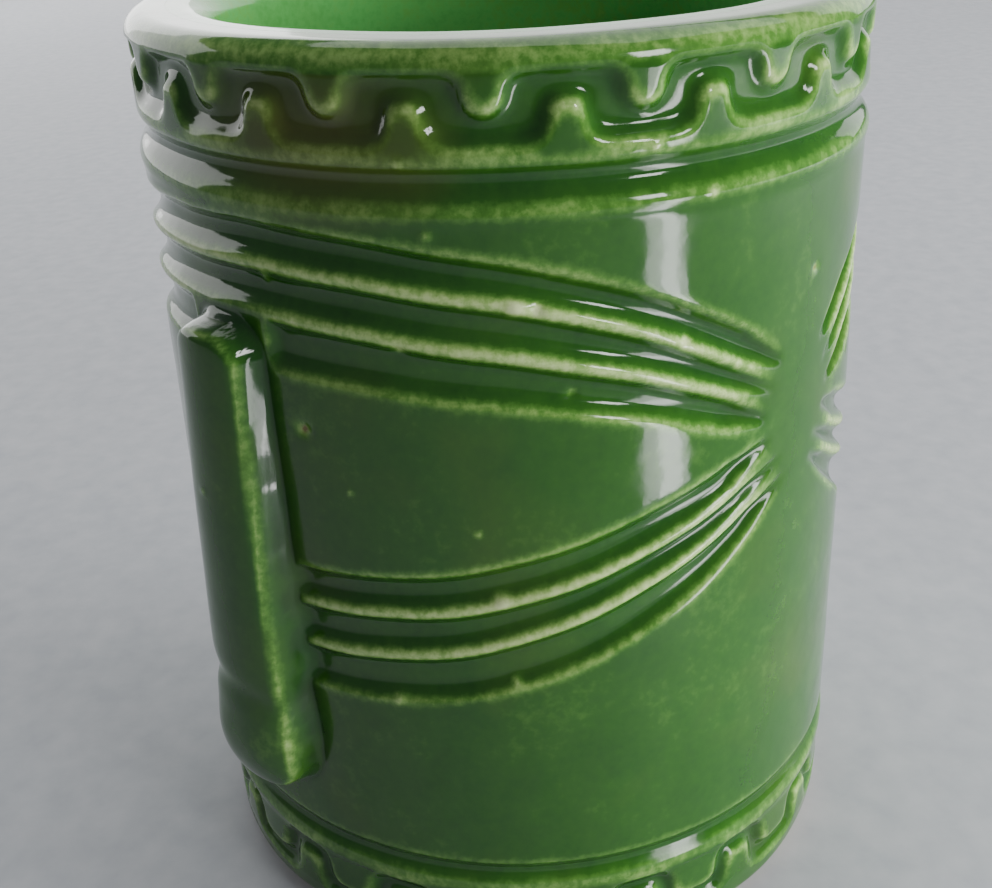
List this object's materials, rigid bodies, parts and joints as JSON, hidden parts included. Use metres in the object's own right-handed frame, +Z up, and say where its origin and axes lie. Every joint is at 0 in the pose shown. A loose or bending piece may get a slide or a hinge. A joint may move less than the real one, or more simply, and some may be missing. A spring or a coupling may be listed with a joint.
{
  "type": "tiki mug",
  "caption": "Glazed earthenware tumbler with a carved mask face on two sides, ringed and key-patterned borders and a flat foot, for holding a drink.",
  "frame": {"origin": "centre of the foot ring's flat face, on the surface the mug stands on", "axes": "+Z up out of the mouth; the first face's nose points along -Y and the second's along +Y; +X to the right of the first face"},
  "size_m": [0.0798, 0.0912, 0.102],
  "materials": {
    "clay": "matt fired earthenware",
    "glaze": "glossy translucent glaze",
    "lining_glaze": "glossy translucent glaze"
  },
  "bodies": {
    "root": {"clay_body": "clay", "nose_front": "clay", "nose_rear": "clay", "outer_glaze": "glaze", "inner_glaze": "lining_glaze"}
  },
  "joints": []
}
